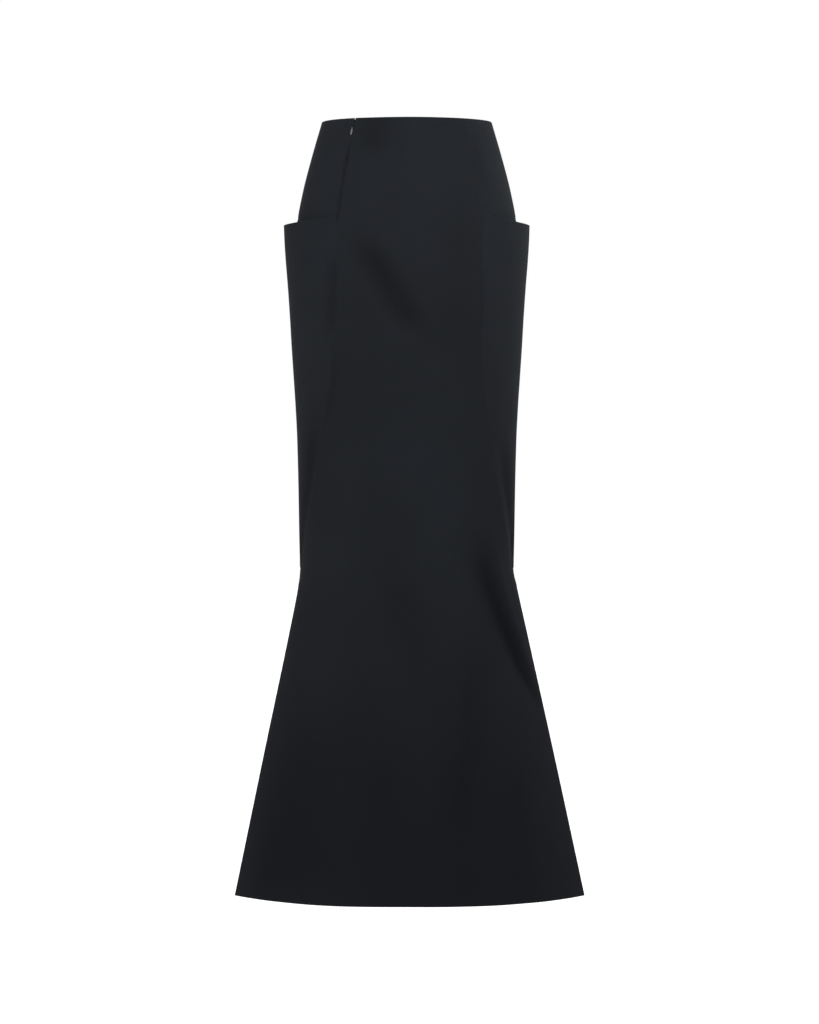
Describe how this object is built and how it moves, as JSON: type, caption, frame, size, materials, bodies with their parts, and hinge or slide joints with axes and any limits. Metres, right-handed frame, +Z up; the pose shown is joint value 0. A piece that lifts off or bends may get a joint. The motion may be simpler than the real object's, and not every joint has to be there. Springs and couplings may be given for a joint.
{
  "type": "column skirt",
  "caption": "Long fitted column skirt with standing hip panels that open as side pockets, a narrow knee, a flared hem and a hidden side-front zip.",
  "frame": {"origin": "centre of the waist opening at the top edge, where the wearer's waist holds the skirt", "axes": "+Z up along the skirt, -Y towards the wearer's front, +X to the wearer's left"},
  "size_m": [0.4938, 0.346, 1.09],
  "materials": {
    "black_cloth": "matt near-black double-faced wool, slightly cool",
    "zip_tape": "matt black woven tape and nylon coil",
    "zip_metal": "small nickel-plated slider and pull"
  },
  "bodies": {
    "skirt": {"front_panel": "black_cloth", "back_panel": "black_cloth", "hip_panel_left": "black_cloth", "hip_panel_right": "black_cloth", "yoke_left": "black_cloth", "yoke_right": "black_cloth", "zip_tape_front": "zip_tape", "zip_tape_side": "zip_tape", "zip_slider": "zip_metal"},
    "pull": {"zip_pull": "zip_metal"}
  },
  "joints": [
    {"name": "pull_swing", "type": "hinge", "parent": "skirt", "child": "pull", "pos_m": [-0.07577, -0.06813, -0.01429], "axis": [-0.8832, 0.4588, 0.0972], "range_deg": [0, 160]}
  ]
}
